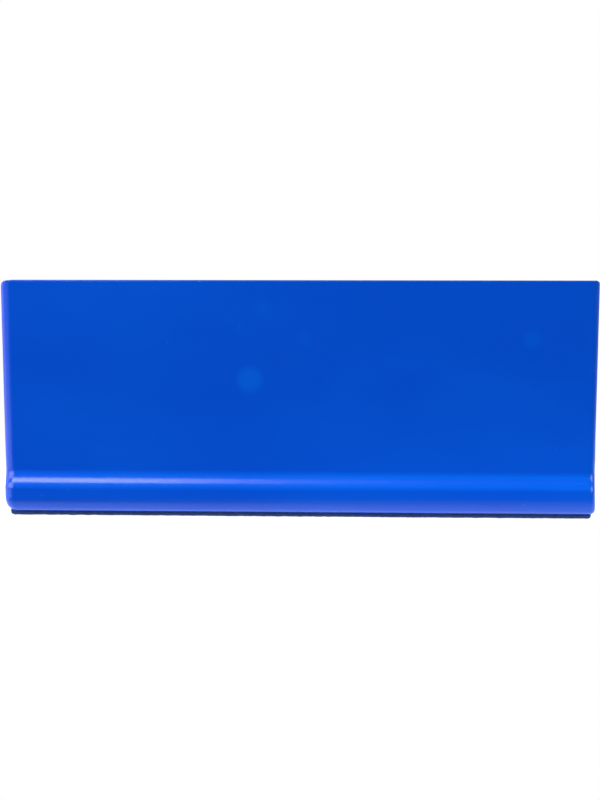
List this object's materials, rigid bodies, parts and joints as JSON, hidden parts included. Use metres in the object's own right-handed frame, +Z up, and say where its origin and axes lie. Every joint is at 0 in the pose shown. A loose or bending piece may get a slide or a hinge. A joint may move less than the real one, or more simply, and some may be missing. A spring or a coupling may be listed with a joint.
{
  "type": "chalkboard eraser",
  "caption": "Chalkboard eraser with a tall blue moulded grip, a rounded bead along the foot of each long side and strips of felt on the underside.",
  "frame": {"origin": "middle of the wiping face, at the bottom of the felt strips", "axes": "+X along the eraser, -Y towards the long side in the picture, +Z up away from the board"},
  "size_m": [0.13, 0.05, 0.0518],
  "materials": {
    "blue_plastic": "satin moulded blue",
    "board": "pressed fibreboard",
    "felt": "pressed wool felt, dark navy"
  },
  "bodies": {
    "root": {"holder": "blue_plastic", "backing_board": "board", "felt_strip_1": "felt", "felt_strip_2": "felt", "felt_strip_3": "felt", "felt_strip_4": "felt", "felt_strip_5": "felt", "felt_strip_6": "felt", "felt_strip_7": "felt"}
  },
  "joints": []
}
